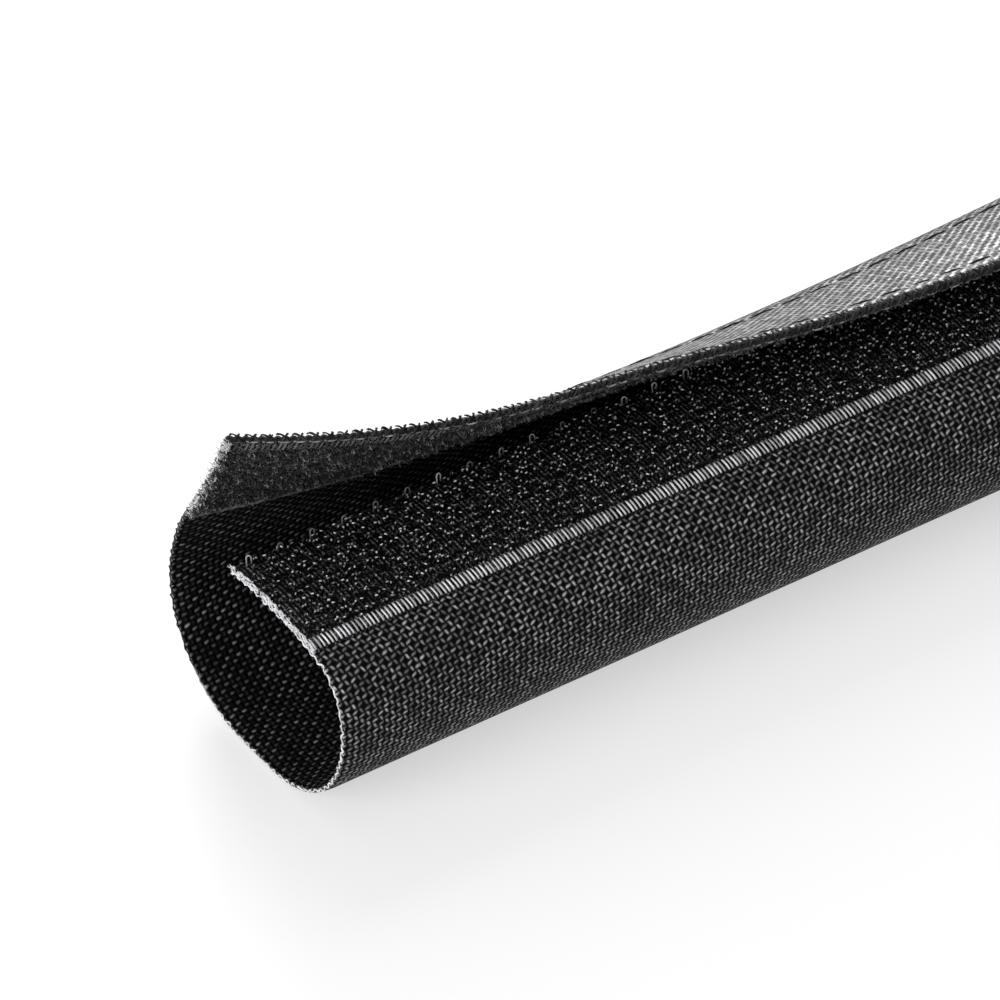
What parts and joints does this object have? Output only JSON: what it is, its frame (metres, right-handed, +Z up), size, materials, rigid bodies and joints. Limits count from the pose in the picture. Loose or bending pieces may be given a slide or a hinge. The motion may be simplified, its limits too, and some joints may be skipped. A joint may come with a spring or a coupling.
{
  "type": "hook and loop cable sleeve",
  "caption": "Woven wrap-around cable sleeve shown part opened at one end: a cloth tube whose flap presses shut along its length with hook and loop tapes.",
  "frame": {"origin": "centre of the bounding box's underside, where the sleeve rests", "axes": "+X along the sleeve towards its shut end, +Y to the side the flap grows from, +Z up"},
  "size_m": [0.3, 0.0342, 0.041],
  "materials": {
    "woven_cloth": "matte",
    "hook_tape": "satin",
    "loop_tape": "matte",
    "thread": "satin"
  },
  "bodies": {
    "root": {"sleeve_cloth": "woven_cloth", "hook_tape": "hook_tape", "loop_tape": "loop_tape", "hook_seam_free_edge": "thread", "hook_seam_rib_edge": "thread", "loop_seam_fold": "thread", "loop_seam_free_edge": "thread"}
  },
  "joints": []
}
